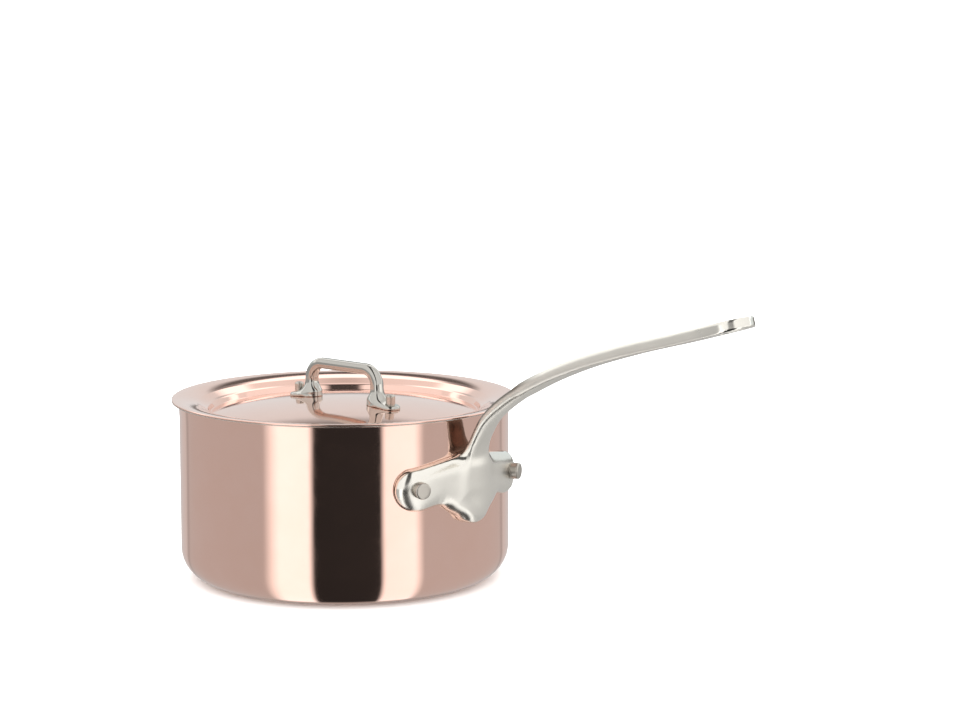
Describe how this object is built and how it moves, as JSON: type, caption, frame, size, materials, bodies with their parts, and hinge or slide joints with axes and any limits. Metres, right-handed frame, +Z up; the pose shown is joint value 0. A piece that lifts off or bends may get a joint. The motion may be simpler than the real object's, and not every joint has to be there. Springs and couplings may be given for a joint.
{
  "type": "saucepan with lid",
  "caption": "Straight-sided copper saucepan lined with steel, with a long cast steel handle riveted to its wall and a recessed copper lid lifted by a riveted loop.",
  "frame": {"origin": "centre of the underside of the pan's base, on the pan's axis", "axes": "+Z up along the pan's axis, +X along the long handle, +Y to its left"},
  "size_m": [0.3317, 0.1704, 0.1508],
  "materials": {
    "polished_copper": "mirror-polished copper",
    "lining_steel": "fine satin stainless steel lining",
    "handle_steel": "satin cast stainless steel, polished on the plate and at the eye",
    "loop_steel": "polished cast stainless steel",
    "rivet_steel": "plain stainless steel rivet"
  },
  "bodies": {
    "pan": {"pan_shell": "polished_copper", "pan_lining": "lining_steel", "long_handle": "handle_steel", "handle_rivet_left": "rivet_steel", "handle_rivet_right": "rivet_steel"},
    "lid": {"lid_shell": "polished_copper", "lid_lining": "lining_steel", "lid_loop": "loop_steel", "lid_rivet_rear": "rivet_steel", "lid_rivet_front": "rivet_steel"}
  },
  "joints": [
    {"name": "lid_lift", "type": "slide", "parent": "pan", "child": "lid", "axis": [0, 0, 1], "range_m": [0, 0.12]}
  ]
}
